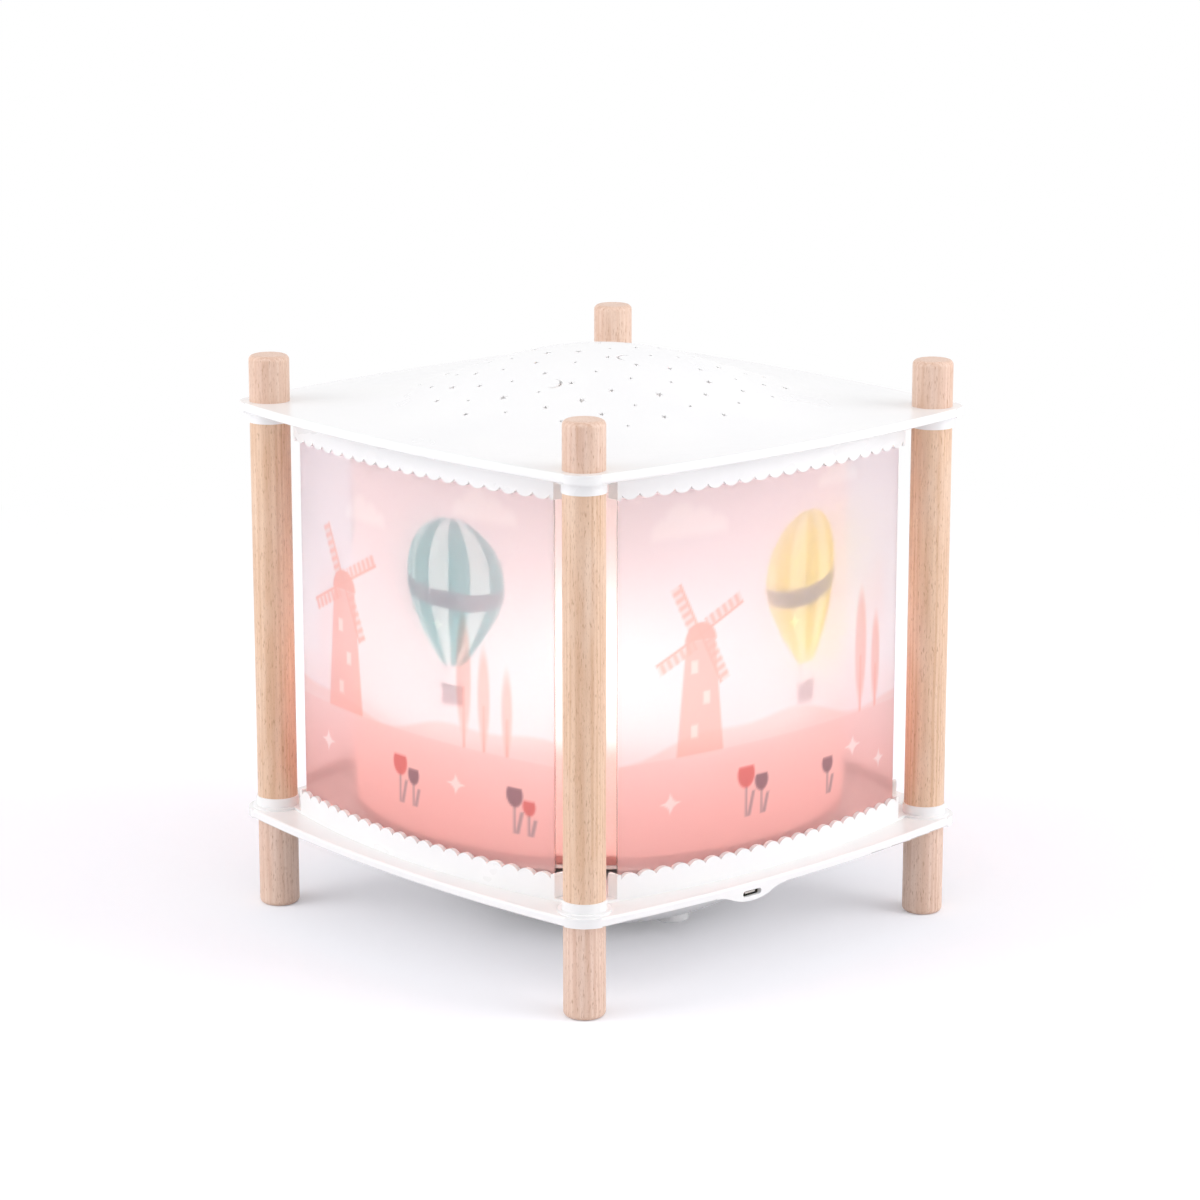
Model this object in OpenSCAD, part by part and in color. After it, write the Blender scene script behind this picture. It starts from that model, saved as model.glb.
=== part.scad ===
// Rotating motion lamp: a lit picture cylinder turns slowly behind four frosted panels,
// between two white moulded plates that four corner stacks of turned beech hold apart.
// Origin: centre of the footprint on the floor. +Z up. The power inlet is on the +X side.

/* [Corner posts] */
// Height from the floor to the tops of the wooden caps
lamp_h = 200; // [190:0.5:215]
// Distance from the lamp's axis to each corner post's axis, along X and along Y
post_off = 81.7; // [80:0.1:85]
// Diameter of the turned beech
post_d = 14.2; // [13:0.1:15]
// Length of each wooden foot
foot_h = 33.1; // [32.6:0.1:38]
// Length of each wooden cap
cap_h = 16.3; // [14:0.1:20]
// Rounding of the outer ends of feet and caps
wood_round = 1.9; // [0.8:0.1:3]
// Diameter of the double-ended studs that join the wood through the plates
stud_d = 5; // [4:0.1:6]
// How deep each stud reaches into the wood on either side
stud_grip = 12; // [8:0.5:13]
// Clearance round a stud
stud_clear = 0.05; // [0.02:0.01:0.1]

/* [Plates] */
// Thickness of both plates at the rim
plate_t = 3.2; // [2.8:0.1:4]
// Radius of the plates' corners, round the posts' axes
corner_r = 10.4; // [10:0.1:12]
// How far the middle of a side bulges beyond its corners
side_bulge = 5.9; // [5:0.1:8]
// Rounding of the plates' rim
rim_round = 0.8; // [0.5:0.1:1.2]
// Height of the dome above the top plate
dome_h = 20; // [14:0.5:24]
// Radius of the dome's foot
dome_r = 95; // [88:0.5:96]
// Radius of curvature of the dome's crown
crown_r = 115; // [100:1:130]
// Slope of the dome's flank, in degrees
dome_slope = 18.5; // [17.5:0.1:19.5]
// Thickness of the dome's wall
dome_t = 2; // [1.6:0.1:2.4]

/* [Star holes] */
// Number of star-shaped holes in the dome
star_n = 96; // [60:1:110]
// Radius of the starred field
star_field_r = 66; // [55:1:72]
// Tip radius of the largest stars
star_r = 1.7; // [1.2:0.1:2]
// Radius of the two thin crescent holes
moon_r = 3; // [2.4:0.1:3.4]

/* [Scalloped frames] */
// Thickness of the sheet that carries fences and collars
sheet_t = 0.8; // [0.6:0.1:1.2]
// Height of the round collars under and over the posts
collar_h = 4.1; // [3.5:0.1:5]
// How much wider a collar is than the wood, on the radius
collar_lip = 0.4; // [0.2:0.1:0.8]
// How much further the sheet reaches round a collar
collar_skirt = 1.4; // [0.8:0.1:1.8]
// Distance from the axis to the middle of a fence's outer face
fence_off = 90.4; // [89.5:0.1:92]
// How far a fence's ends fall back behind its middle
fence_bow = 7.7; // [6.5:0.1:8.5]
// Half the length of the scalloped edge
fence_half = 66.2; // [65:0.1:67]
// Height of a fence from the plate to its scallops' tops
fence_h = 9.1; // [8:0.1:11]
// Thickness of a fence
fence_t = 1.6; // [1.2:0.1:1.8]
// Number of scallops along a side
scallop_n = 20; // [14:1:24]
// Depth of the scallops
scallop_d = 1.9; // [1.2:0.1:2.2]
// Thickness of the upright tab that closes each end of a panel slot
tab_t = 1.5; // [1.2:0.1:1.8]
// Height of the inner rib of a panel slot
rib_h = 3.6; // [2.5:0.1:4]
// Thickness of the inner rib
rib_t = 1.2; // [1:0.1:1.4]

/* [Panels and picture cylinder] */
// Thickness of a frosted panel
panel_t = 1; // [0.8:0.1:1.4]
// Clearance of a panel in its slot, on each face and edge
panel_clear = 0.2; // [0.1:0.05:0.3]
// Outer radius of the picture cylinder
drum_r = 82; // [78:0.1:82.5]
// Thickness of the printed film
film_t = 0.5; // [0.4:0.05:0.8]
// Gap between the film's top edge and the upper frame
drum_gap = 4; // [3:0.5:12]
// Height of the hoop inside the film's top edge
hoop_h = 4; // [3:0.5:6]
// Thickness of the hoop and of the turntable's skirt
hoop_t = 1.6; // [1.2:0.1:2]
// Clearance between the film and what it fits round
film_clear = 0.05; // [0.03:0.01:0.1]

/* [Turntable and drive] */
// Outer radius of the fixed lamp column, which is the turntable's bearing
column_r = 10; // [9:0.1:11]
// Radius of the column's bore for the leads
column_bore_r = 6; // [5:0.1:6.5]
// Running clearance of the hub on the column
run_clear = 0.06; // [0.03:0.01:0.1]
// Wall of the turntable's hub
hub_wall = 3.4; // [3:0.1:4]
// Height of the hub above the disc
hub_rise = 4; // [3:0.5:8]
// Thickness of the turntable's disc
disc_t = 1.6; // [1.2:0.1:2]
// Width of the flange that the film stands on, beyond the film
flange_w = 1; // [0.6:0.1:1.4]
// Thickness of that flange
flange_t = 1; // [0.8:0.1:1.4]
// Thickness of the thrust washer under the hub
washer_t = 0.6; // [0.4:0.1:1]
// Thickness of the shoulder that the washer lies on
shoulder_t = 1.4; // [1:0.1:2]
// Teeth of the drive gear
gear_teeth = 48; // [46:1:50]
// Teeth of the motor's pinion
pinion_teeth = 16; // [15:1:17]
// Module of both gears
gear_module = 1.25; // [1.2:0.01:1.3]
// Thickness of the drive gear
gear_t = 3.2; // [2.6:0.1:3.4]
// Play between the teeth at the pitch circle
backlash = 0.2; // [0.12:0.01:0.3]
// Diameter of the motor's shaft
shaft_d = 3; // [2.5:0.1:3.5]

/* [Light] */
// Height of the glowing globe's centre above the floor
globe_z = 98; // [92:1:120]
// Radius of the globe
globe_r = 17; // [15:0.5:22]
// Radius of the globe's neck
neck_r = 12.5; // [12.2:0.1:13]
// Length of the globe's straight neck
neck_h = 6.5; // [5:0.5:9]
// Wall of the globe
globe_t = 1.2; // [1:0.1:1.6]
// Thickness of the light board
led_board_t = 1.6; // [1:0.1:2]

/* [Pod] */
// Gap between the floor and the pod
pod_gap = 6; // [5:0.1:7]
// Radius of the pod's flat floor
pod_floor_r = 38; // [36:0.5:40]
// Radius of the pod at the base plate
pod_r = 72; // [70:0.5:75]
// How far the pod's side swells out from a straight cone
pod_swell = 5; // [4:0.1:6]
// Wall of the pod
pod_wall = 2; // [1.6:0.1:2.4]
// Distance from the axis to each pod screw
pod_screw_r = 51; // [50:0.5:53]
// Shank diameter of the small self-tapping screws
screw_d = 2.9; // [2.5:0.1:3.2]
// Head diameter of the small screws
screw_head_d = 5.6; // [5:0.1:6]
// Clearance round a screw's shank or head
screw_clear = 0.05; // [0.03:0.01:0.1]

/* [Inlet and button] */
// Place of the inlet along the +X side
inlet_y = -20; // [-26:0.5:-16]
// Width of the inlet's slot
inlet_w = 8.3; // [7.6:0.1:9]
// Height of the inlet's slot
inlet_h = 2; // [1.8:0.1:2.4]
// Half the width of the nose that hangs from the rim round the inlet
nose_half = 15.6; // [14:0.1:17]
// How far the nose hangs below the base plate
nose_drop = 3.2; // [2.8:0.1:3.6]
// Diameter of the push button under the pod
button_d = 12; // [10:0.1:13]
// Distance from the axis to the button
button_x = 37.5; // [36.5:0.1:38.5]
// How far the button stands out of the pod
button_proud = 1.6; // [1.3:0.1:2]
// Travel of the button
button_travel = 1.2; // [0.8:0.1:1.2]

/* [Electrics] */
// Diameter of the rechargeable cell
cell_d = 18.4; // [14:0.1:18.6]
// Length of the cell
cell_len = 65; // [50:0.5:66]
// Distance from the axis to the cell's axis
cell_x = 5; // [3:0.5:6]
// Diameter of the gear motor
motor_d = 20; // [16:0.5:21]
// Height of the gear motor
motor_h = 17; // [12:0.5:17.5]
// Thickness of the circuit boards
board_t = 1.6; // [1:0.1:2]
// Height of the bosses that the main board hangs from
boss_h = 2.3; // [2:0.1:3]
// Diameter of an insulated lead
lead_d = 1.4; // [1:0.1:1.6]

/* [Hidden] */

$fn = 96;
e = 0.01;

// Centres of the two crescents
moons = [star_field_r * [0.26, -0.06], star_field_r * [0.24, -0.54]];

// Corner stacks: each corner's signs of X and Y, in the order of the nodes' names
corners = [[1, -1], [1, 1], [-1, 1], [-1, -1]];
post_r = post_d / 2;
stud_r = stud_d / 2;

// Levels, from the floor up
base_z = foot_h;
deck_z = base_z + plate_t;
post_z0 = deck_z + collar_h;
cap_z = lamp_h - cap_h;
top_z = cap_z - plate_t;
post_z1 = top_z - collar_h;
sheet_z = deck_z + sheet_t;

// Plate outline: corner arcs tangent to long side arcs
side_reach = post_off + corner_r + side_bulge;
side_k = post_off - side_reach;
side_arc = (corner_r * corner_r - post_off * post_off - side_k * side_k)
    / (2 * (side_k + corner_r));
tangent_a = atan2(post_off, post_off + side_arc - side_reach);

// Fences, panels and ribs share one centre of curvature for each side
fence_arc = (fence_half * fence_half + fence_bow * fence_bow) / (2 * fence_bow);
fence_c = fence_off - fence_arc;
slot_w = panel_t + 2 * panel_clear;
panel_arc = fence_arc - fence_t - panel_clear;
rib_arc = fence_arc - fence_t - slot_w;
panel_half = fence_half - panel_clear;
collar_r = post_r + collar_lip;
skirt_r = collar_r + collar_skirt;
frame_open_r = fence_off - fence_t - slot_w - rib_t - 1.6;

// Turntable
hub_bore_r = column_r + run_clear;
hub_r = hub_bore_r + hub_wall;
hub_z = sheet_z + shoulder_t + washer_t;
gear_z = hub_z + 0.6;
disc_z = gear_z + gear_t;
hub_top = disc_z + disc_t + hub_rise;
ring_r = drum_r - film_t - film_clear;
flange_z = sheet_z + 2.9;
film_z = flange_z + flange_t;
film_top = top_z - sheet_t - drum_gap;
clip_z = hub_top + 0.2;
clip_t = 1;
clip_w = 2.4;
groove_d = 0.9;

// Gears
gear_r = gear_module * gear_teeth / 2;
pinion_r = gear_module * pinion_teeth / 2;
motor_x = -(gear_r + pinion_r);
pressure_a = 20;
pinion_lift = 0.9;
pinion_z = sheet_z + pinion_lift;
pinion_top = disc_z - 0.5;
shaft_r = shaft_d / 2;
shaft_clear = 0.03;
shaft_sink = 8;

// Light
column_flange_t = 1.6;
column_flange_r = column_r + 8;
column_screw_r = column_r + 4.5;
globe_seat = globe_z - sqrt(globe_r * globe_r - neck_r * neck_r) - neck_h;
seat_t = 3;
seat_r = neck_r + 0.5;
led_board_r = neck_r - globe_t - 0.6;
led_w = 6;
led_h = 1.4;

// Pod: its side is an arc through the edge of its floor and its rim
pod_z = pod_gap;
pod_floor_z = pod_z + pod_wall;
side_w = pod_r - pod_floor_r;
side_h = base_z - pod_z;
side_chord = sqrt(side_w * side_w + side_h * side_h);
pod_arc = (side_chord * side_chord / 4 + pod_swell * pod_swell) / (2 * pod_swell);
pod_cx = (pod_floor_r + pod_r) / 2 - side_h / side_chord * (pod_arc - pod_swell);
pod_cz = (pod_z + base_z) / 2 + side_w / side_chord * (pod_arc - pod_swell);
screw_r = screw_d / 2;
head_r = screw_head_d / 2;
head_t = 2;
tower_r = head_r + 1.4;
pod_seat_z = base_z - 11;
pilot_depth = plate_t - 0.8;

// Button
button_r = button_d / 2;
button_clear = 0.3;
button_lip = 1.3;
button_seat_z = pod_floor_z + 1.8;
guide_wall = 1.5;
guide_h = 3.6;
stem_r = 2;
switch_w = 6;
switch_case_h = 3.5;
switch_h = 5;

// Electrics
cell_r = cell_d / 2;
cell_room = 0.15;
cell_z = pod_floor_z + 0.4 + cell_r;
motor_r = motor_d / 2;
motor_top = base_z;
ear_r = 3.4;
ear_t = 1.6;
ear_off = motor_r + head_r + 0.2;
board_top = base_z - boss_h;
board_z = board_top - board_t;
board_x = 18.5;
board_len = 38;
board_w = 40;
board_screw_in = 4;
plug_h = 2.3;
plug_len = 4.5;
// The near pair of screws stands clear of the connector and its leads
board_screw_near = plug_len + head_r + 0.7;
lead_r = lead_d / 2;
lead_z = board_z - 1.2;

// Inlet: the slot's centre lies just under the base plate
inlet_z = base_z - 0.5;
socket_w = inlet_w - 0.6;
socket_h = inlet_h + 0.6;
socket_len = 6;
socket_t = 0.3;
face_t = 1.2;
face_x = side_arc * cos(asin(inlet_y / side_arc)) + side_reach - side_arc;
socket_x = face_x - face_t;
inlet_board_len = 14;
inlet_board_w = 12;
inlet_board_t = 1;
inlet_board_z = inlet_z + socket_h / 2;
inlet_fit = 0.05;
inlet_in = pod_r - 4;
inlet_lead_z = base_z - lead_r - 0.1;

// ---------- shared shapes ----------

// A plate's outline: four long side arcs, trimmed to the corner arcs past their tangent points
module plate_outline() {
    chord = corner_r * cos(45 - tangent_a);
    difference() {
        for_sides_2d() translate([side_reach - side_arc, 0]) circle(r = side_arc, $fn = 360);
        for (i = [0:3]) rotate(45 + 90 * i) translate([post_off * sqrt(2), 0]) difference() {
            translate([chord, -2 * corner_r]) square(4 * corner_r);
            circle(r = corner_r);
        }
    }
}

// Keeps what lies inside the child's shape on all four sides
module for_sides_2d() {
    intersection() {
        children();
        rotate(90) children();
        rotate(180) children();
        rotate(270) children();
    }
}

// The waste outside a rim at radius r with both its edges rounded, as a profile
module rim_waste(r) {
    difference() {
        translate([r - rim_round, -1]) square([rim_round + 1, plate_t + 2]);
        translate([r - rim_round - 1, rim_round]) square([rim_round + 1, plate_t - 2 * rim_round]);
        for (z = [rim_round, plate_t - rim_round])
            translate([r - rim_round, z]) circle(r = rim_round, $fn = 32);
    }
}

// A flat plate with rounded rims, from level 0 up
module rounded_plate() {
    difference() {
        linear_extrude(plate_t) plate_outline();
        for (i = [0:3]) rotate(90 * i) {
            translate([side_reach - side_arc, 0, 0]) rotate(-tangent_a)
                rotate_extrude(angle = 2 * tangent_a, $fn = 360) rim_waste(side_arc);
            translate([post_off, post_off, 0]) rotate(tangent_a)
                rotate_extrude(angle = 90 - 2 * tangent_a) rim_waste(corner_r);
        }
    }
}

// Puts the children at each corner post's axis
module at_corners() {
    for (c = corners) translate([c[0] * post_off, c[1] * post_off, 0]) children();
}

// A curved band that follows a side's arc on the +X side: outer arc radius, thickness, half length
module side_band(arc, t, half) {
    intersection() {
        translate([fence_c, 0]) difference() {
            circle(r = arc, $fn = 360);
            circle(r = arc - t, $fn = 360);
        }
        translate([0, -half]) square([side_reach, 2 * half]);
    }
}

// The waste above a run of scallops, seen from the side: a strip less one disc for each scallop
module scallop_waste() {
    pitch = 2 * fence_half / scallop_n;
    r = (pitch * pitch / 4 + scallop_d * scallop_d) / (2 * scallop_d);
    difference() {
        translate([-fence_half - 1, fence_h - scallop_d + 0.03])
            square([2 * fence_half + 2, scallop_d + 1]);
        for (i = [0:scallop_n - 1])
            translate([-fence_half + pitch * (i + 0.5), fence_h - r]) circle(r = r, $fn = 64);
    }
}

// One side's fence, end tabs and inner rib, standing on level 0 on the +X side
module fence() {
    reach = side_reach + 1;
    difference() {
        linear_extrude(fence_h + 0.5) side_band(fence_arc, fence_t, fence_half);
        rotate([90, 0, 90]) linear_extrude(reach) scallop_waste();
    }
    // The end tabs close the slot and have round tops
    intersection() {
        linear_extrude(fence_h)
            side_band(fence_arc, fence_t + slot_w + rib_t, fence_half + tab_t);
        rotate([90, 0, 90]) linear_extrude(reach) for (s = [-1, 1])
            translate([s * (fence_half + tab_t / 2), 0]) {
                translate([-tab_t / 2, 0]) square([tab_t, fence_h - tab_t / 2]);
                translate([0, fence_h - tab_t / 2]) circle(r = tab_t / 2, $fn = 32);
            }
    }
    linear_extrude(sheet_t + rib_h) side_band(rib_arc, rib_t, fence_half);
}

// A scalloped frame: sheet, four fences and four collars, from level 0 up
module scalloped_frame() {
    difference() {
        union() {
            linear_extrude(sheet_t) {
                for_sides_2d() translate([fence_c, 0]) circle(r = fence_arc, $fn = 360);
                for (c = corners) translate([c[0] * post_off, c[1] * post_off]) circle(r = skirt_r);
            }
            for (i = [0:3]) rotate(90 * i) fence();
            at_corners() cylinder(r = collar_r, h = collar_h);
        }
        at_corners() translate([0, 0, -1]) cylinder(r = stud_r + stud_clear, h = collar_h + 2);
    }
}

// A small screw pointing up: its head hangs below level 0, its shank stands above
module screw(shank) {
    translate([0, 0, -head_t]) cylinder(r = head_r, h = head_t, $fn = 32);
    cylinder(r = screw_r, h = shank, $fn = 32);
}

// An insulated lead along a path, with round corners
module lead(path) {
    for (i = [0:len(path) - 2]) {
        v = path[i + 1] - path[i];
        translate(path[i]) rotate([0, acos(v[2] / norm(v)), atan2(v[1], v[0])])
            cylinder(r = lead_r, h = norm(v), $fn = 24);
        if (i > 0) translate(path[i]) sphere(r = lead_r, $fn = 24);
    }
}

// ---------- plates and frames ----------

module base_plate() color("white") {
    difference() {
        union() {
            translate([0, 0, base_z]) rounded_plate();
            inlet_nose();
            for (p = board_screws_at()) translate([p[0], p[1], board_top])
                cylinder(r = screw_r + 1.2, h = boss_h + e, $fn = 32);
        }
        at_corners() translate([0, 0, base_z - 1])
            cylinder(r = stud_r + stud_clear, h = plate_t + 2, $fn = 32);
        translate([0, 0, base_z - 1]) cylinder(r = column_r + screw_clear, h = plate_t + 2);
        translate([motor_x, 0, base_z - 1]) cylinder(r = shaft_r + 1, h = plate_t + 2, $fn = 32);
        for (a = [45:90:315]) rotate(a) translate([pod_screw_r, 0, base_z - 1])
            pilot(pilot_depth + 1);
        for (p = board_screws_at()) translate([p[0], p[1], board_top - 1])
            pilot(boss_h + pilot_depth + 1);
        for (a = [90, 210, 330]) rotate(a) translate([column_screw_r, 0, base_z - 1])
            pilot(pilot_depth + 1);
        for (s = [-1, 1]) translate([motor_x, s * ear_off, base_z - 1]) pilot(pilot_depth + 1);
        inlet_pocket();
    }
}

// A pilot hole for a small screw
module pilot(depth) {
    cylinder(r = screw_r + screw_clear, h = depth, $fn = 32);
}

// The nose that hangs from the rim round the inlet: a convex arc between two hollow ones
module inlet_nose() {
    arcs = (nose_half * nose_half + nose_drop * nose_drop) / (2 * nose_drop);
    belly = arcs * 0.62;
    hollow = arcs - belly;
    split = nose_half * belly / arcs;
    low = base_z - nose_drop;
    split_z = low + belly - sqrt(belly * belly - split * split);
    into = plate_t / 2;
    difference() {
        intersection() {
            translate([0, 0, low - 1]) linear_extrude(nose_drop + into + 1) plate_outline();
            translate([0, inlet_y, 0]) rotate([90, 0, 90]) linear_extrude(side_reach + 1)
                difference() {
                    translate([-nose_half, low]) square([2 * nose_half, nose_drop + into]);
                    difference() {
                        translate([-split, low - 1]) square([2 * split, split_z - low + 1]);
                        translate([0, low + belly]) circle(r = belly, $fn = 180);
                    }
                    for (s = [-1, 1]) {
                        translate([s * nose_half, base_z + 0.15 - hollow]) circle(r = hollow);
                        translate([s > 0 ? split : -nose_half - 1, low - 1])
                            square([nose_half - split + 1, split_z - low + 1]);
                    }
                }
        }
        // Clear of the pod's rim
        translate([0, 0, low - 1]) cylinder(r = pod_r + 0.2, h = nose_drop + 1, $fn = 180);
        translate([0, 0, low - 1]) cylinder(r = pod_r - 4, h = nose_drop + into + 2, $fn = 180);
    }
}

// The slot in the nose's face, and two channels that open towards the pod: a low narrow one for
// the socket and its leads, and a wide shallow one above it for the board
module inlet_pocket() {
    low = inlet_z - socket_h / 2 - inlet_fit;
    translate([socket_x - 1, inlet_y, inlet_z]) rotate([90, 0, 90]) linear_extrude(face_t + 4)
        slot_shape(inlet_w, inlet_h);
    translate([inlet_in, inlet_y - socket_w / 2 - inlet_fit, low])
        cube([socket_x - inlet_in, socket_w + 2 * inlet_fit, inlet_board_z - low]);
    translate([inlet_in, inlet_y - inlet_board_w / 2 - 0.2, inlet_board_z - inlet_fit])
        cube([socket_x - 2 + inlet_fit - inlet_in, inlet_board_w + 0.4, inlet_board_t + 2 * inlet_fit]);
}

// A slot with round ends, centred
module slot_shape(w, h) {
    for (s = [-1, 1]) translate([s * (w - h) / 2, 0]) circle(r = h / 2, $fn = 32);
    square([w - h, h], center = true);
}

module base_frame() color("white") {
    difference() {
        translate([0, 0, deck_z]) scalloped_frame();
        translate([0, 0, deck_z - 1]) cylinder(r = column_r + screw_clear, h = 4);
        translate([motor_x, 0, deck_z - 1]) cylinder(r = shaft_r + 1, h = 4, $fn = 32);
    }
}

module top_frame() color("white") {
    difference() {
        translate([0, 0, top_z]) mirror([0, 0, 1]) scalloped_frame();
        translate([0, 0, top_z - 6]) cylinder(r = frame_open_r, h = 8, $fn = 180);
    }
}

// The space under the dome's outer surface, drawn in by t: crown arc, straight flank, foot arc
module dome_solid(t) {
    // The foot arc and the flank's length close the profile on dome_h and dome_r
    s = sin(dome_slope);
    c = cos(dome_slope);
    flank = (dome_h * s - dome_r * (1 - c)) / (s * s - c * (1 - c));
    foot_r = (dome_r - flank * c) / s - crown_r;
    apex = cap_z + dome_h;
    x1 = crown_r * s;
    z1 = apex - crown_r * (1 - c);
    x2 = x1 + flank * c;
    z2 = z1 - flank * s;
    low = cap_z - plate_t - (t > 0 ? 1 : 0);
    rotate_extrude($fn = 180) difference() {
        polygon([[0, low], [0, z1 - t * c + (x1 - t * s) * s / c], [x2 - t * s, z2 - t * c],
            [dome_r, z2 - t * c], [dome_r, low]]);
        // Over the crown
        difference() {
            translate([-1, z1 - t * c]) square([x1 - t * s + 1, dome_h]);
            translate([0, apex - crown_r]) circle(r = crown_r - t, $fn = 360);
        }
        translate([dome_r, cap_z + foot_r]) circle(r = foot_r + t, $fn = 360);
    }
}

// A five-pointed star, r at its tips
module star(r) {
    polygon([for (i = [0:9]) let (q = i % 2 ? 0.42 * r : r) q * [cos(36 * i), sin(36 * i)]]);
}

// A thin crescent
module crescent() {
    difference() {
        circle(r = moon_r, $fn = 48);
        translate([0.3 * moon_r, 0]) circle(r = moon_r * 0.93, $fn = 48);
    }
}

// Stars on a sunflower spiral, every fifth one large and every second one small,
// with the two crescents in place of the stars nearest to them
module star_field() {
    golden = 137.508;
    for (i = [0:star_n - 1]) {
        p = star_field_r * sqrt((i + 0.6) / star_n) * [cos(i * golden), sin(i * golden)];
        size = i % 5 == 2 ? 1 : i % 2 == 0 ? 0.52 : 0.74;
        if (min([for (m = moons) norm(p - m)]) > moon_r + star_r + 0.6)
            translate(p) rotate(i * 53) star(star_r * size);
    }
    for (i = [0, 1]) translate(moons[i]) rotate(i ? 200 : 35) crescent();
}

module top_plate() color("white") {
    difference() {
        union() {
            translate([0, 0, top_z]) rounded_plate();
            dome_solid(0);
        }
        dome_solid(dome_t);
        at_corners() translate([0, 0, top_z - 1])
            cylinder(r = stud_r + stud_clear, h = plate_t + 2, $fn = 32);
        translate([0, 0, top_z]) linear_extrude(dome_h + plate_t + 1) star_field();
    }
}

// ---------- corner stacks ----------

module foot(i) color("burlywood") {
    translate([corners[i][0] * post_off, corners[i][1] * post_off, 0]) difference() {
        rotate_extrude() {
            square([post_r - wood_round, foot_h]);
            translate([0, wood_round]) square([post_r, foot_h - wood_round]);
            translate([post_r - wood_round, wood_round]) circle(r = wood_round, $fn = 32);
        }
        translate([0, 0, foot_h - stud_grip - 1])
            cylinder(r = stud_r + stud_clear, h = stud_grip + 2, $fn = 32);
    }
}

module post(i) color("burlywood") {
    translate([corners[i][0] * post_off, corners[i][1] * post_off, 0]) difference() {
        translate([0, 0, post_z0]) cylinder(r = post_r, h = post_z1 - post_z0);
        for (z = [post_z0 - 1, post_z1 - stud_grip - 1]) translate([0, 0, z])
            cylinder(r = stud_r + stud_clear, h = stud_grip + 2, $fn = 32);
    }
}

module cap(i) color("burlywood") {
    translate([corners[i][0] * post_off, corners[i][1] * post_off, 0]) difference() {
        rotate_extrude() {
            translate([0, cap_z]) square([post_r - wood_round, cap_h]);
            translate([0, cap_z]) square([post_r, cap_h - wood_round]);
            translate([post_r - wood_round, lamp_h - wood_round]) circle(r = wood_round, $fn = 32);
        }
        translate([0, 0, cap_z - 1])
            cylinder(r = stud_r + stud_clear, h = stud_grip + 2, $fn = 32);
    }
}

module base_studs() color("silver") {
    at_corners() translate([0, 0, foot_h - stud_grip])
        cylinder(r = stud_r, h = post_z0 - foot_h + 2 * stud_grip, $fn = 32);
}

module top_studs() color("silver") {
    at_corners() translate([0, 0, post_z1 - stud_grip])
        cylinder(r = stud_r, h = cap_z - post_z1 + 2 * stud_grip, $fn = 32);
}

// ---------- panels and picture cylinder ----------

module panel(turn) color("pink", 0.6) {
    rotate(turn) translate([0, 0, sheet_z])
        linear_extrude(top_z - sheet_t - panel_clear - sheet_z)
            side_band(panel_arc, panel_t, panel_half);
}

module picture_cylinder() color("lightcoral", 0.7) {
    translate([0, 0, film_z]) difference() {
        cylinder(r = drum_r, h = film_top - film_z, $fn = 180);
        translate([0, 0, -1]) cylinder(r = drum_r - film_t, h = film_top - film_z + 2, $fn = 180);
    }
}

module cylinder_hoop() color("white") {
    translate([0, 0, film_top - hoop_h]) difference() {
        cylinder(r = ring_r, h = hoop_h, $fn = 180);
        translate([0, 0, -1]) cylinder(r = ring_r - hoop_t, h = hoop_h + 2, $fn = 180);
    }
}

module turntable() color("white") {
    rotate_extrude($fn = 180) {
        translate([hub_bore_r, hub_z]) square([hub_wall, hub_top - hub_z]);
        translate([hub_r - e, disc_z]) square([ring_r - hub_r + e, disc_t]);
        translate([ring_r - hoop_t, flange_z]) square([hoop_t, disc_z + disc_t - flange_z]);
        translate([ring_r - e, flange_z])
            square([drum_r + flange_w - ring_r + e, flange_t]);
    }
}

// ---------- drive ----------

// Involute function, in degrees, at radius r of a gear with base radius rb
function involute(rb, r) = let (a = acos(min(1, rb / r))) tan(a) * 180 / PI - a;

// Half the angle that a tooth takes at radius r
function tooth_half(n, rb, rp, r) =
    90 / n - backlash / (4 * rp) * 180 / PI + involute(rb, rp) - involute(rb, max(r, rb));

// Outline of an involute gear with n teeth, one of them centred on +X
module gear_outline(n) {
    rp = gear_module * n / 2;
    rb = rp * cos(pressure_a);
    root = rp - 1.25 * gear_module;
    tip = rp + gear_module;
    start = max(rb, root + 0.1);
    radii = [root, for (k = [0:4]) start + (tip - start) * k / 4];
    polygon([for (i = [0:n - 1]) let (mid = 360 * i / n) each [
        for (k = [0:5]) let (r = radii[k], a = mid - tooth_half(n, rb, rp, r)) r * [cos(a), sin(a)],
        for (k = [5:-1:0]) let (r = radii[k], a = mid + tooth_half(n, rb, rp, r)) r * [cos(a), sin(a)]
    ]]);
}

module drive_gear() color("gainsboro") {
    translate([0, 0, gear_z]) difference() {
        linear_extrude(gear_t) gear_outline(gear_teeth);
        translate([0, 0, -1]) cylinder(r = hub_r + shaft_clear, h = gear_t + 2);
    }
}

module motor_pinion() color("gainsboro") {
    translate([motor_x, 0, pinion_z]) difference() {
        rotate(gear_teeth % 2 ? 0 : 180 / pinion_teeth)
            linear_extrude(pinion_top - pinion_z) gear_outline(pinion_teeth);
        translate([0, 0, -1]) cylinder(r = shaft_r + shaft_clear, h = gear_t + 6, $fn = 32);
    }
}

module motor_shaft() color("silver") {
    translate([motor_x, 0, motor_top - shaft_sink])
        cylinder(r = shaft_r, h = pinion_top - motor_top + shaft_sink, $fn = 32);
}

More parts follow.
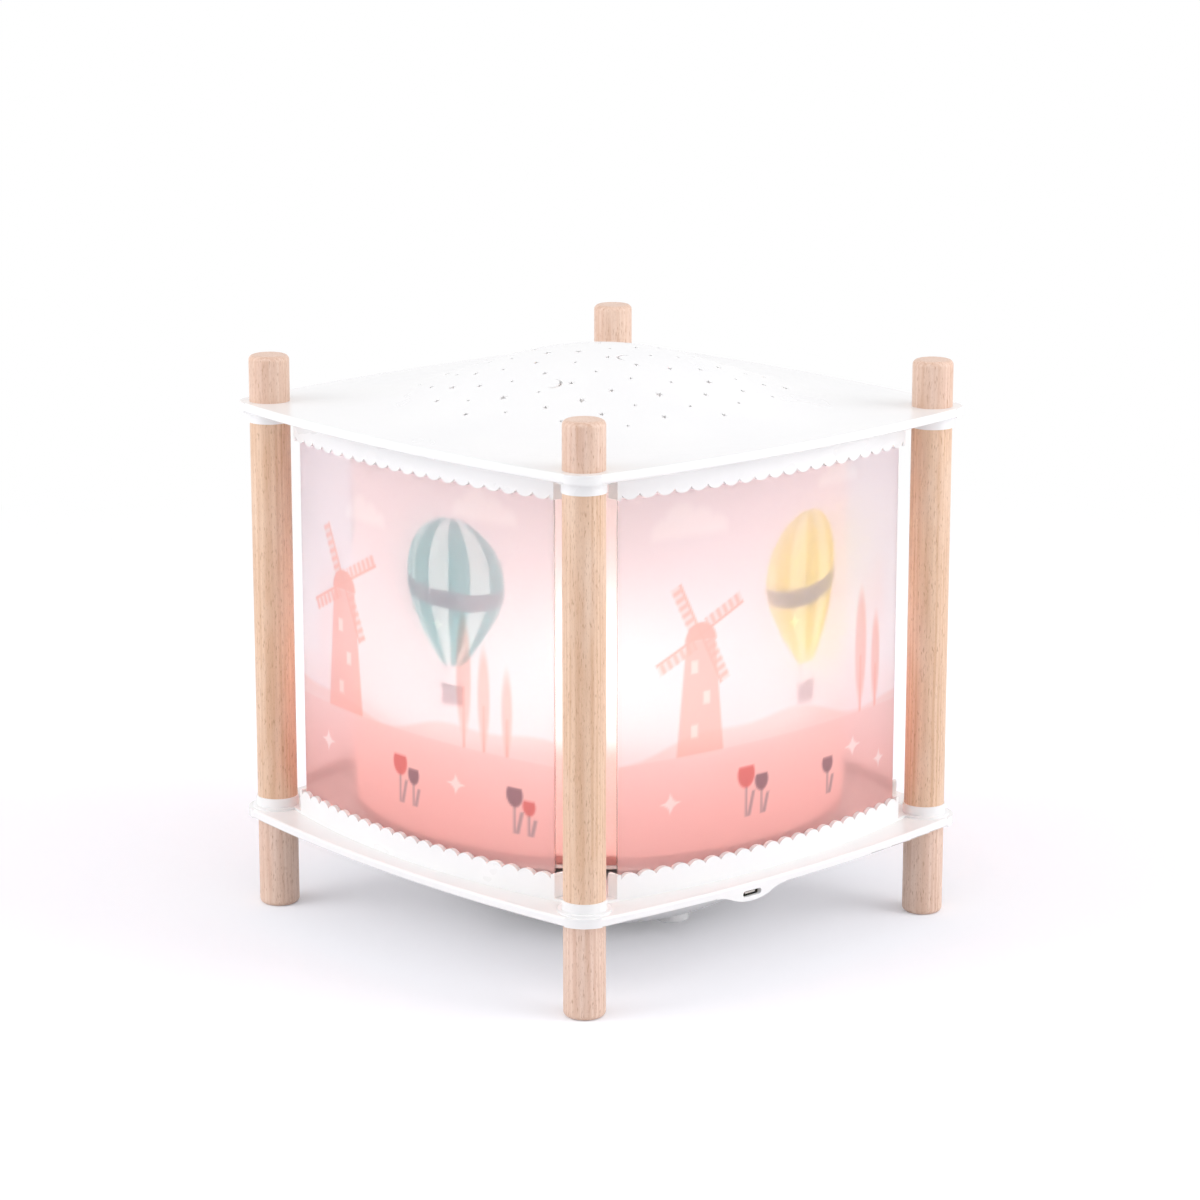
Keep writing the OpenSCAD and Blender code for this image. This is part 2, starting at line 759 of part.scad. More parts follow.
module gear_motor() color("silver") {
    difference() {
        union() {
            translate([motor_x, 0, motor_top - motor_h]) cylinder(r = motor_r, h = motor_h);
            // Two ears that screw to the base plate
            translate([motor_x, 0, motor_top - ear_t]) linear_extrude(ear_t) {
                for (s = [-1, 1]) translate([0, s * ear_off]) circle(r = ear_r, $fn = 32);
                square([2 * ear_r, 2 * ear_off], center = true);
            }
        }
        translate([motor_x, 0, motor_top - shaft_sink])
            cylinder(r = shaft_r + run_clear, h = shaft_sink + 1, $fn = 32);
        for (s = [-1, 1]) translate([motor_x, s * ear_off, motor_top - ear_t - 1])
            cylinder(r = screw_r + screw_clear, h = ear_t + 2, $fn = 32);
    }
}

module motor_screws() color("silver") {
    for (s = [-1, 1]) translate([motor_x, s * ear_off, motor_top - ear_t])
        screw(ear_t + pilot_depth - 0.2);
}

module thrust_washer() color("ivory") {
    translate([0, 0, hub_z - washer_t]) difference() {
        cylinder(r = hub_r, h = washer_t);
        translate([0, 0, -1]) cylinder(r = hub_bore_r, h = washer_t + 2);
    }
}

module hub_clip() color("dimgray") {
    translate([0, 0, clip_z]) difference() {
        cylinder(r = column_r - groove_d + clip_w, h = clip_t);
        translate([0, 0, -1]) cylinder(r = column_r - groove_d + screw_clear, h = clip_t + 2);
        // The clip's open side
        translate([0, -1.5, -1]) cube([column_r + 3, 3, clip_t + 2]);
    }
}

// ---------- light ----------

module lamp_column() color("white") {
    difference() {
        union() {
            translate([0, 0, base_z - column_flange_t])
                cylinder(r = column_flange_r, h = column_flange_t);
            translate([0, 0, base_z - e]) cylinder(r = column_r, h = globe_seat - base_z + e);
            translate([0, 0, sheet_z]) cylinder(r = hub_r + 0.6, h = shoulder_t);
            // Seat of the globe, on a cone
            translate([0, 0, globe_seat - seat_t]) cylinder(r = seat_r, h = seat_t);
            translate([0, 0, globe_seat - 2 * seat_t])
                cylinder(r1 = column_r, r2 = seat_r, h = seat_t + e);
        }
        translate([0, 0, base_z - column_flange_t - 1])
            cylinder(r = column_bore_r, h = globe_seat - base_z + column_flange_t + 2);
        for (a = [90, 210, 330]) rotate(a) translate([column_screw_r, 0, base_z - column_flange_t - 1])
            cylinder(r = screw_r + screw_clear, h = column_flange_t + 2, $fn = 32);
        translate([0, 0, clip_z - 0.05]) difference() {
            cylinder(r = column_r + 1, h = clip_t + 0.1);
            translate([0, 0, -1]) cylinder(r = column_r - groove_d, h = clip_t + 2);
        }
    }
}

module column_screws() color("silver") {
    for (a = [90, 210, 330]) rotate(a) translate([column_screw_r, 0, base_z - column_flange_t])
        screw(column_flange_t + pilot_depth - 0.2);
}

module light_board() color("whitesmoke") {
    translate([0, 0, globe_seat]) cylinder(r = led_board_r, h = led_board_t);
}

module light_emitter() color("gold") {
    translate([0, 0, globe_seat + led_board_t]) {
        translate([-led_w / 2, -led_w / 2, 0]) cube([led_w, led_w, led_h]);
        translate([0, 0, led_h]) intersection() {
            sphere(r = led_w * 0.42, $fn = 48);
            cylinder(r = led_w, h = led_w);
        }
    }
}

module globe_profile(t) {
    rotate_extrude() {
        intersection() {
            translate([0, globe_z]) circle(r = globe_r - t, $fn = 180);
            translate([0, globe_seat + neck_h / 2]) square(3 * globe_r);
        }
        translate([0, globe_seat]) square([neck_r - t, globe_z - globe_seat]);
    }
}

module light_globe() color("white") {
    difference() {
        globe_profile(0);
        difference() {
            globe_profile(globe_t);
            translate([0, 0, globe_seat - 2]) cylinder(r = globe_r, h = 2);
        }
        translate([0, 0, globe_seat - 1]) cylinder(r = neck_r - globe_t, h = 2);
    }
}

// ---------- pod ----------

// The pod's outer form drawn in by t, from level low up to the base plate
module bowl(t, low) {
    rotate_extrude($fn = 180) intersection() {
        translate([0, low]) square([pod_r, base_z - low]);
        union() {
            translate([pod_cx, pod_cz]) circle(r = pod_arc - t, $fn = 360);
            square([pod_cx, base_z]);
        }
    }
}

module pod() color("white") {
    difference() {
        union() {
            difference() {
                bowl(0, pod_z);
                bowl(pod_wall, pod_floor_z);
                translate([0, 0, base_z - 1]) cylinder(r = pod_r - pod_wall, h = 2, $fn = 180);
            }
            intersection() {
                bowl(0, pod_z);
                union() {
                    for (a = [45:90:315]) rotate(a) translate([pod_screw_r, 0, 0])
                        cylinder(r = tower_r, h = base_z, $fn = 48);
                    translate([button_x, 0, 0])
                        cylinder(r = button_r + button_lip + guide_wall + button_clear,
                            h = button_seat_z + guide_h, $fn = 64);
                    // Two saddles for the cell
                    for (s = [-1, 1]) translate([cell_x - cell_r - 2, s * cell_len * 0.3 - 1, 0])
                        cube([2 * cell_r + 4, 2, cell_z - 1]);
                }
            }
        }
        for (a = [45:90:315]) rotate(a) translate([pod_screw_r, 0, 0]) {
            cylinder(r = head_r + 0.3, h = pod_seat_z, $fn = 48);
            cylinder(r = screw_r + screw_clear, h = base_z + 1, $fn = 32);
        }
        translate([button_x, 0, 0]) cylinder(r = button_r + button_clear, h = 2 * button_seat_z, $fn = 64);
        translate([button_x, 0, button_seat_z])
            cylinder(r = button_r + button_lip + button_clear, h = guide_h + 1, $fn = 64);
        translate([cell_x, 0, cell_z]) rotate([90, 0, 0])
            cylinder(r = cell_r + cell_room, h = cell_len + 4, center = true);
        // Way through for the inlet's leads
        translate([pod_r - 8, inlet_y - socket_w / 2, inlet_z - socket_h / 2])
            cube([10, socket_w, socket_h]);
    }
}

module pod_screws() color("silver") {
    for (a = [45:90:315]) rotate(a) translate([pod_screw_r, 0, pod_seat_z])
        screw(base_z - pod_seat_z + pilot_depth - 0.2);
}

module push_button() color("white") {
    low = pod_z - button_proud;
    translate([button_x, 0, 0]) {
        // Slightly crowned cap
        rotate_extrude($fn = 64) {
            translate([0, low]) square([button_r - 0.8, 1]);
            translate([0, low + 0.8]) square([button_r, button_seat_z + 1 - low - 0.8]);
            translate([button_r - 0.8, low + 0.8]) circle(r = 0.8, $fn = 32);
            translate([0, button_seat_z]) square([button_r + button_lip, 1]);
        }
        translate([0, 0, button_seat_z])
            cylinder(r = stem_r, h = board_z - switch_h - button_travel - 0.2 - button_seat_z, $fn = 32);
    }
}

// ---------- electrics ----------

module battery_cell() color("steelblue") {
    translate([cell_x, 0, cell_z]) rotate([90, 0, 0]) {
        cylinder(r = cell_r, h = cell_len - 1, center = true);
        translate([0, 0, -cell_len / 2]) cylinder(r = cell_r * 0.32, h = cell_len, $fn = 48);
    }
}

module battery_leads() color("firebrick") {
    for (s = [-1, 1]) lead([
        [cell_x, s * (cell_len / 2 + lead_r), cell_z],
        [cell_x, s * (cell_len / 2 + lead_r), lead_z],
        [board_x + plug_len / 2, s * (cell_len / 2 + lead_r), lead_z],
        [board_x + plug_len / 2, s * (board_w / 2 - 6), lead_z],
    ]);
}

// Where the main board's screws sit
function board_screws_at() = [for (x = [board_screw_near, board_len - board_screw_in])
    for (s = [-1, 1]) [board_x + x, s * (board_w / 2 - board_screw_in)]];

module main_board() color("seagreen") {
    difference() {
        union() {
            translate([board_x, -board_w / 2, board_z]) cube([board_len, board_w, board_t]);
            // Lead connector, driver chip and coil on the underside
            translate([board_x, -board_w / 2 + 6, board_z - plug_h])
                cube([plug_len, board_w - 12, plug_h + e]);
            translate([board_x + 24, -15, board_z - 1.4]) cube([7, 7, 1.4 + e]);
            translate([board_x + 28, 11, board_z - 3]) cylinder(r = 3.5, h = 3 + e, $fn = 32);
        }
        for (p = board_screws_at()) translate([p[0], p[1], board_z - 1])
            cylinder(r = screw_r + screw_clear, h = board_t + 2, $fn = 32);
    }
}

module board_screws() color("silver") {
    for (p = board_screws_at()) translate([p[0], p[1], board_z])
        screw(board_t + boss_h + pilot_depth - 0.4);
}

module button_switch() color("dimgray") {
    translate([button_x - switch_w / 2, -switch_w / 2, board_z - switch_case_h])
        cube([switch_w, switch_w, switch_case_h]);
    translate([button_x, 0, board_z - switch_h]) cylinder(r = 1.7, h = 2, $fn = 32);
}

module light_leads() color("firebrick") {
    for (s = [-1, 1]) lead([
        [0, 1.6 * s, globe_seat],
        [0, 1.6 * s, lead_z],
        [board_x, 1.6 * s, lead_z],
    ]);
}

module motor_leads() color("firebrick") {
    for (y = [6, 9]) {
        start = motor_x + sqrt(motor_r * motor_r - (y - lead_r) * (y - lead_r));
        lead([[start, y, lead_z], [board_x, y, lead_z]]);
    }
}

module inlet_socket() color("silver") {
    translate([socket_x, inlet_y, inlet_z]) rotate([90, 0, -90]) difference() {
        linear_extrude(socket_len) square([socket_w, socket_h], center = true);
        translate([0, 0, -1]) linear_extrude(socket_len) difference() {
            square([socket_w - 2 * socket_t, socket_h - 2 * socket_t], center = true);
            square([socket_w - 3, 0.6], center = true);
        }
    }
}

module inlet_board() color("seagreen") {
    translate([socket_x - 2 - inlet_board_len, inlet_y - inlet_board_w / 2, inlet_board_z])
        cube([inlet_board_len, inlet_board_w, inlet_board_t]);
}

module inlet_leads() color("firebrick") {
    x = socket_x - inlet_board_len;
    board_end = [board_x + board_len - 2, inlet_y + 12];
    for (s = [-1, 1]) let (y = s * 1.5) lead([
        [x, inlet_y + y, inlet_board_z],
        [x, inlet_y + y, inlet_lead_z],
        [inlet_in - 4, inlet_y + y, inlet_lead_z],
        [board_end[0], board_end[1] + y, inlet_lead_z],
        [board_end[0], board_end[1] + y, board_top],
    ]);
}

base_plate();
base_frame();
top_plate();
top_frame();
foot(0);  // foot_front_right
foot(1);  // foot_back_right
foot(2);  // foot_back_left
foot(3);  // foot_front_left
post(0);  // post_front_right
post(1);  // post_back_right
post(2);  // post_back_left
post(3);  // post_front_left
cap(0);  // cap_front_right
cap(1);  // cap_back_right
cap(2);  // cap_back_left
cap(3);  // cap_front_left
base_studs();
top_studs();
panel(0);  // panel_right
panel(90);  // panel_back
panel(180);  // panel_left
panel(270);  // panel_front
picture_cylinder();
cylinder_hoop();
turntable();
drive_gear();
thrust_washer();
hub_clip();
lamp_column();
column_screws();
light_board();
light_emitter();
light_globe();
light_leads();
gear_motor();
motor_screws();
motor_shaft();
motor_pinion();
motor_leads();
pod();
pod_screws();
push_button();
battery_cell();
battery_leads();
main_board();
board_screws();
button_switch();
inlet_socket();
inlet_board();
inlet_leads();
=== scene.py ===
"""Rotating motion lamp in a white studio.

A cylinder of milky film, printed with balloons, turns round a glowing globe behind four frosted
panels, which are printed with the country that the balloons cross. Stacks of turned beech hold two
glossy white plates apart, and a white pod under the lower plate holds the drive.
"""

import math

import bpy
import numpy as np
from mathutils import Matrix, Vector


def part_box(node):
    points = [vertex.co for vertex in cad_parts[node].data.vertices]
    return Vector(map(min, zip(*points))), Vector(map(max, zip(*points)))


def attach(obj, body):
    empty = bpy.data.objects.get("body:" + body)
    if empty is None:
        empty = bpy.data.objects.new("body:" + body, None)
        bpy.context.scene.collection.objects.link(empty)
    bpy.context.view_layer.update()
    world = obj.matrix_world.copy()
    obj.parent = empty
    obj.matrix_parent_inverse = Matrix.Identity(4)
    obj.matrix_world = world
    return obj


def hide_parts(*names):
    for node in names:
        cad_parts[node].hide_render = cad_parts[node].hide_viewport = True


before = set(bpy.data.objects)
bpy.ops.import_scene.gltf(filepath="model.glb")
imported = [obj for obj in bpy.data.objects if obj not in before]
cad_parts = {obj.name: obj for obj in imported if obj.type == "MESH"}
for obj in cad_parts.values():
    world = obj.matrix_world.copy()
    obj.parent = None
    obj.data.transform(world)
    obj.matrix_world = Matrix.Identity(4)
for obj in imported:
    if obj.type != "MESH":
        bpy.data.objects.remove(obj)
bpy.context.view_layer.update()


# ---------- measures ----------

MM = 0.001

# The printed sheets' own lengths are in mm. FILM_ROUND is the way round the film
FILM_LOW, FILM_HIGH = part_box("picture_cylinder")
FILM_R = (FILM_HIGH.x - FILM_LOW.x) / 2 / MM
FILM_WALL = 0.5
FILM_ROUND = 2 * math.pi * FILM_R
FILM_COLUMNS, FILM_ROWS = 620, 135

# The panels are bowed to PANEL_ARC. PANEL_PITCH is the way from one panel's picture to the next
PANEL_LOW, PANEL_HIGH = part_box("panel_right")
PANEL_ARC = 286.6
PANEL_WALL = 1.0
PANEL_COLUMNS, PANEL_ROWS = 201, 217
PANEL_PITCH = 150

# Heights of the pictures' ground line, of the feet of what stands behind it, and of the tulips'
GROUND_Z = 81.5
HILL_FOOT_Z = GROUND_Z - 2
TULIP_FOOT_Z = 56

# The globe's emission strength, and the share of it that is left at its top
GLOBE_LOW, GLOBE_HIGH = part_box("light_globe")
GLOBE_TOP = GLOBE_HIGH.z
GLOBE_MIDDLE = GLOBE_TOP - (GLOBE_HIGH.x - GLOBE_LOW.x) / 2
GLOBE_GLOW = 16.5
GLOBE_TOP_SHARE = 0.35

# The share of white in the panels' veil, the share of the light that goes through them, and the
# share of that which keeps what stands behind in sight
VEIL_SHARE = 0.4
THROUGH_SHARE = 0.76
HAZE_SHARE = 0.6

# The film's satin face, and the light that it lets on towards the eye as the globe's hot spot
FACE_SHARE = 0.25
HOT_SHARE = 0.095

# Camera and studio, in metres and degrees
CAMERA_PLACE = Vector((0.95324, -0.87429, 0.42488))
CAMERA_AZIMUTH = 47.469
CAMERA_ELEVATION = 13.555
CAMERA_LENS = 113.13
LAMP_MIDDLE = Vector((0, 0, 0.1))
WORLD_FILL = 0.74
FLOOR_LIFT = 0.16
FLOOR_HALF = 4.0
# Distances from the lamp between which the floor turns plain white
FLOOR_NEAR, FLOOR_FAR = 0.24, 0.75

# Numbers of the inputs of a Mix node that mixes colours
FACTOR, COLOUR_A, COLOUR_B = 0, 6, 7


# ---------- colours and nodes ----------

def linear(colour):
    """sRGB values from 0 to 1, as one colour or an array of them, turned to linear light."""
    colour = np.asarray(colour, float)
    return np.where(colour <= 0.04045, colour / 12.92, ((colour + 0.055) / 1.055) ** 2.4)


def rgb(code):
    """A hex colour code as three sRGB values from 0 to 1."""
    return np.array([int(code[i:i + 2], 16) for i in (1, 3, 5)]) / 255


def paint(code):
    """A hex colour code as the linear RGBA that a socket takes."""
    return (*linear(rgb(code)), 1.0)


def add(tree, kind, settings=None, links=None, give=None):
    """Adds one node, sets its properties and inputs, and links sockets into it. Returns its first
    output that is in use, or the one that give names."""
    node = tree.nodes.new("ShaderNode" + kind)
    for key, value in (settings or {}).items():
        if isinstance(key, str) and hasattr(node, key):
            setattr(node, key, value)
        else:
            node.inputs[key].default_value = value
    for key, socket in (links or {}).items():
        tree.links.new(socket, node.inputs[key])
    in_use = [socket for socket in node.outputs if socket.enabled]
    return node.outputs[give] if give else in_use[0] if in_use else None


def new_material(name):
    """An empty node material: the material, its tree, and its object coordinates."""
    made = bpy.data.materials.new(name)
    made.use_nodes = True
    tree = made.node_tree
    tree.nodes.clear()
    return made, tree, add(tree, "TexCoord", give="Object")


def per_grain(size):
    """A Mapping scale that makes one unit of the vector out of each grain size in mm."""
    return [1 / (MM * length) for length in size]


def grains(tree, place, size, detail=1.0, rough=0.5, shift=(0, 0, 0)):
    """Noise whose grain is so many mm along each axis. shift picks another stretch of it."""
    scaled = add(tree, "Mapping", {"Location": shift, "Scale": per_grain(size)}, {"Vector": place})
    return add(tree, "TexNoise", {"Scale": 1.0, "Detail": detail, "Roughness": rough},
               {"Vector": scaled})


def put(name, data):
    """A new object of this data in the scene."""
    made = bpy.data.objects.new(name, data)
    bpy.context.scene.collection.objects.link(made)
    return made


# ---------- materials ----------

def worked(name, tones, rough, cloud_mm, tooth_mm, relief_mm, **look):
    """A finish that is even but never flat: its tone and roughness drift between two values over
    clouds of one size, and a finer tooth stands relief_mm out of it."""
    made, tree, place = new_material(name)
    clouds = grains(tree, place, cloud_mm, detail=3.0)
    share = add(tree, "MapRange", {"From Min": 0.3, "From Max": 0.7}, {"Value": clouds})
    tone = add(tree, "Mix", {
        "data_type": "RGBA", COLOUR_A: paint(tones[0]), COLOUR_B: paint(tones[1])}, {FACTOR: share})
    dull = add(tree, "MapRange", {"To Min": rough[0], "To Max": rough[1]}, {"Value": share})
    teeth = grains(tree, place, tooth_mm)
    relief = add(tree, "Bump", {"Strength": 0.5, "Distance": relief_mm * MM}, {"Height": teeth})
    surface = add(tree, "BsdfPrincipled",
                  {key.replace("_", " "): value for key, value in look.items()},
                  {"Base Color": tone, "Roughness": dull, "Normal": relief})
    add(tree, "OutputMaterial", links={"Surface": surface})
    return made


def turned_beech(name, shift, early, late):
    """Steamed beech, turned and sealed with a satin lacquer: pinkish tan with straight growth
    lines, short brown flecks along the grain and fine pores. Flecks and pores are drawn two to
    three times their real width, so that they show. Each mark is a noise stretched along Z, shift
    picks another stretch of the dowel, and early and late are the tones of its early and its late
    wood."""
    made, tree, place = new_material(name)

    def marks(tone, size, span, share, colour, detail=1.0):
        """Lays one kind of mark over the tone. Its cover grows from nothing to this share over this
        span of the noise. Gives the new tone and the cover."""
        spread = grains(tree, place, size, detail, rough=0.55, shift=shift)
        cover = add(tree, "MapRange", {"From Min": span[0], "From Max": span[1], "To Max": share},
                    {"Value": spread})
        marked = add(tree, "Mix", {"data_type": "RGBA", COLOUR_B: paint(colour)},
                     {FACTOR: cover, COLOUR_A: tone})
        return marked, cover

    rings_at = add(tree, "Mapping", {"Location": shift, "Scale": per_grain((1, 1, 16)),
                                     "Rotation": (0, 0.02, 0.9)}, {"Vector": place})
    rings = add(tree, "TexWave", {"wave_type": "BANDS", "bands_direction": "X", "Scale": 0.3,
                                  "Distortion": 2.8, "Detail": 2.0, "Detail Scale": 0.8,
                                  "Detail Roughness": 0.6}, {"Vector": rings_at}, "Fac")
    ring = add(tree, "MapRange", {"From Min": 0.2, "From Max": 0.95, "To Max": 0.5},
               {"Value": rings})
    tone = add(tree, "Mix", {"data_type": "RGBA", COLOUR_A: paint(early), COLOUR_B: paint(late)},
               {FACTOR: ring})
    # Growth lines, paler stretches, flecks and pores
    tone, _ = marks(tone, (0.9, 0.9, 34), (0.38, 0.7), 0.45, "#C89C7B", 3.0)
    tone, _ = marks(tone, (7, 7, 26), (0.42, 0.75), 0.4, "#F0D8C5", 2.0)
    tone, fleck = marks(tone, (0.42, 0.42, 2.6), (0.6, 0.72), 0.55, "#AC7C5A")
    tone, pore = marks(tone, (0.17, 0.17, 1.2), (0.62, 0.74), 0.35, "#9A6F50")
    dull = add(tree, "MapRange", {"To Min": 0.44, "To Max": 0.6}, {"Value": fleck})
    relief = add(tree, "Bump", {"Strength": 0.5, "Distance": 0.03 * MM, "invert": True},
                 {"Height": pore})
    surface = add(tree, "BsdfPrincipled", {"IOR": 1.5, "Coat Weight": 0.2, "Coat Roughness": 0.3},
                  {"Base Color": tone, "Roughness": dull, "Normal": relief})
    add(tree, "OutputMaterial", links={"Surface": surface})
    return made


def printed_ink(tree):
    """The ink that a printed piece carries as its own attribute: its colour, and its cover, which
    is nought on the piece's bare inner face."""
    return [add(tree, "Attribute", {"attribute_name": "ink"}, give=part)
            for part in ("Color", "Alpha")]


def end_print(tree, cover, printed):
    """Ends a printed piece's material: this shader where ink covers it, and nothing on the bare
    inner face."""
    bare = add(tree, "BsdfTransparent")
    surface = add(tree, "MixShader", {}, {"Fac": cover, 1: bare, 2: printed})
    add(tree, "OutputMaterial", links={"Surface": surface})


def frosted_sheet():
    """Styrene sheet, printed and frosted on its outer face: a milky veil in the colours of its
    print, through which what stands close behind shows softly and what stands far behind blurs
    away. The inner face is clear."""
    made, tree, place = new_material("printed_frosted_styrene_sheet")
    ink, cover = printed_ink(tree)
    frost = grains(tree, place, (0.5, 0.5, 0.5), detail=2.0)
    relief = add(tree, "Bump", {"Strength": 0.4, "Distance": 0.02 * MM}, {"Height": frost})
    dull = add(tree, "MapRange", {"From Min": 0.3, "From Max": 0.7, "To Min": 0.4, "To Max": 0.52},
               {"Value": frost})
    veil = add(tree, "Mix", {
        "data_type": "RGBA", FACTOR: VEIL_SHARE, COLOUR_B: paint("#FBF7F8")}, {COLOUR_A: ink})
    skin = add(tree, "BsdfPrincipled", {"IOR": 1.49},
               {"Base Color": veil, "Roughness": dull, "Normal": relief})
    screen = add(tree, "BsdfTranslucent", {}, {"Color": ink, "Normal": relief})
    haze = add(tree, "BsdfRefraction", {"Roughness": 0.36, "IOR": 1.1}, {"Color": ink})
    through = add(tree, "MixShader", {"Fac": HAZE_SHARE}, {1: screen, 2: haze})
    end_print(tree, cover, add(tree, "MixShader", {"Fac": THROUGH_SHARE}, {1: skin, 2: through}))
    return made


def dyed_film():
    """Milky polyester film, printed on its outer face with dye inks: it spreads the globe's light
    and glows in their colours, with a broad hot spot before the globe and a satin surface."""
    made, tree, place = new_material("dye_printed_polyester_film")
    ink, cover = printed_ink(tree)
    tooth = grains(tree, place, (0.6, 0.6, 0.6), detail=2.0)
    speck = add(tree, "MapRange", {"From Min": 0.35, "From Max": 0.75, "To Max": 0.08},
                {"Value": tooth})
    colour = add(tree, "Mix", {"data_type": "RGBA", COLOUR_B: paint("#FFFFFF")},
                 {FACTOR: speck, COLOUR_A: ink})
    dull = add(tree, "MapRange", {"To Min": 0.3, "To Max": 0.45}, {"Value": tooth})
    glow = add(tree, "BsdfTranslucent", {}, {"Color": colour})
    face = add(tree, "BsdfPrincipled", {"IOR": 1.6}, {"Base Color": colour, "Roughness": dull})
    hot = add(tree, "BsdfRefraction", {"Roughness": 1.0, "IOR": 1.45}, {"Color": colour})
    even = add(tree, "MixShader", {"Fac": FACE_SHARE}, {1: glow, 2: face})
    end_print(tree, cover, add(tree, "MixShader", {"Fac": HOT_SHARE}, {1: even, 2: hot}))
    return made


def lit_opal():
    """Opal acrylic, blow moulded and lit from inside: an even warm glow, weaker over its top."""
    made, tree, place = new_material("lit_opal_acrylic")
    cloud_at = grains(tree, place, (9, 9, 9), detail=2.0)
    uneven = add(tree, "MapRange", {"From Min": 0.3, "From Max": 0.7, "To Min": 0.94,
                                    "To Max": 1.0}, {"Value": cloud_at})
    height = add(tree, "SeparateXYZ", {}, {"Vector": place}, "Z")
    sideways = add(tree, "MapRange", {"From Min": GLOBE_MIDDLE, "From Max": GLOBE_TOP,
                                      "To Min": GLOBE_GLOW, "To Max": GLOBE_TOP_SHARE * GLOBE_GLOW},
                   {"Value": height})
    glow = add(tree, "Math", {"operation": "MULTIPLY"}, {0: sideways, 1: uneven})
    surface = add(tree, "BsdfPrincipled", {
        "Base Color": paint("#FDFAF4"), "IOR": 1.49, "Roughness": 0.35,
        "Emission Color": paint("#FFF8F0")}, {"Emission Strength": glow})
    add(tree, "OutputMaterial", links={"Surface": surface})
    return made


def solder_mask(name, mask, track):
    """Glass-fibre board under solder mask: glossy lacquer over faintly raised copper tracks."""
    made, tree, place = new_material(name)
    grid = add(tree, "Mapping", {"Scale": per_grain((1, 1, 1))}, {"Vector": place})
    tracks = add(tree, "TexBrick", {"Scale": 1.0, "Mortar Size": 0.12, "Mortar Smooth": 0.2,
                                    "Brick Width": 3.6, "Row Height": 1.3}, {"Vector": grid}, "Fac")
    tone = add(tree, "Mix", {"data_type": "RGBA", COLOUR_A: paint(mask), COLOUR_B: paint(track)},
               {FACTOR: tracks})
    weave = grains(tree, place, (0.4, 0.4, 0.4))
    dull = add(tree, "MapRange", {"To Min": 0.3, "To Max": 0.42}, {"Value": weave})
    relief = add(tree, "Bump", {"Strength": 0.6, "Distance": 0.04 * MM}, {"Height": tracks})
    surface = add(tree, "BsdfPrincipled", {"IOR": 1.55, "Coat Weight": 0.4, "Coat Roughness": 0.12},
                  {"Base Color": tone, "Roughness": dull, "Normal": relief})
    add(tree, "OutputMaterial", links={"Surface": surface})
    return made


# ---------- the printed pictures ----------
# A picture is an array of sRGB colours. A motif's x and y are each point's offsets from its place
# in mm, to the right as seen from outside and up.

def soft(distance, edge=1.0):
    """Cover of a shape from its signed distance in mm: 1 inside, 0 outside, smooth over its
    edge."""
    share = np.clip(0.5 - distance / edge, 0, 1)
    return share * share * (3 - 2 * share)


def lay(picture, cover, colour, strength=1.0):
    """Lays an ink over the picture where cover says."""
    picture += (cover * strength)[..., None] * (rgb(colour) - picture)


def balloon(picture, x, y, radius, light, dark, belt):
    """A hot-air balloon. Its half width is a circle's down to 0.45 of the radius under the middle,
    then leaves it along its tangent and falls as a parabola to a fifth of the radius at the mouth.
    Gores follow the sine of their angle, so they crowd towards the edges, and a sagging belt
    crosses them."""
    shoulder = -0.45 * radius
    mouth = -1.4 * radius
    t = np.clip((shoulder - y) / (shoulder - mouth), 0, 1)
    low_half = radius * (0.893 - 0.479 * t - 0.214 * t * t)
    high_half = np.sqrt(np.maximum(radius ** 2 - y ** 2, 1e-6))
    half = np.where(y > shoulder, high_half, low_half)
    outside = np.where(y > shoulder, np.hypot(x, y) - radius,
                       np.maximum(np.abs(x) - low_half, mouth - y))
    body = soft(outside)
    turn = np.arcsin(np.clip(x / half, -1, 1))
    gores = 7 * turn + 0.4
    sag = np.abs(y + 0.15 * radius + 0.2 * radius * np.cos(turn)) - 0.14 * radius
    lay(picture, body, light)
    lay(picture, body * soft(-np.sin(gores) * 3), dark)
    lay(picture, body * soft(sag), belt)
    # Shade towards the edges, and pale seams
    lay(picture, body * (x / half) ** 4, dark, 0.5)
    lay(picture, body * soft(np.abs(np.sin(2 * gores)) * 5 - 0.6, 1.5), "#FFFFFF", 0.35)
    # Ropes, basket and its rim
    basket = mouth - 0.5 * radius
    for side in (-1, 1):
        rope = np.abs(x - side * 0.17 * radius) - 0.4
        lay(picture, soft(np.maximum(rope, np.maximum(y - mouth, basket - y))), "#A8969C", 0.7)
    box = np.maximum(np.abs(x) - 0.22 * radius, np.abs(y - basket) - 0.15 * radius)
    rim = np.maximum(np.abs(x) - 0.25 * radius, np.abs(y - basket - 0.15 * radius) - 0.7)
    lay(picture, soft(box), "#A5868C")
    lay(picture, soft(rim), "#84686F")


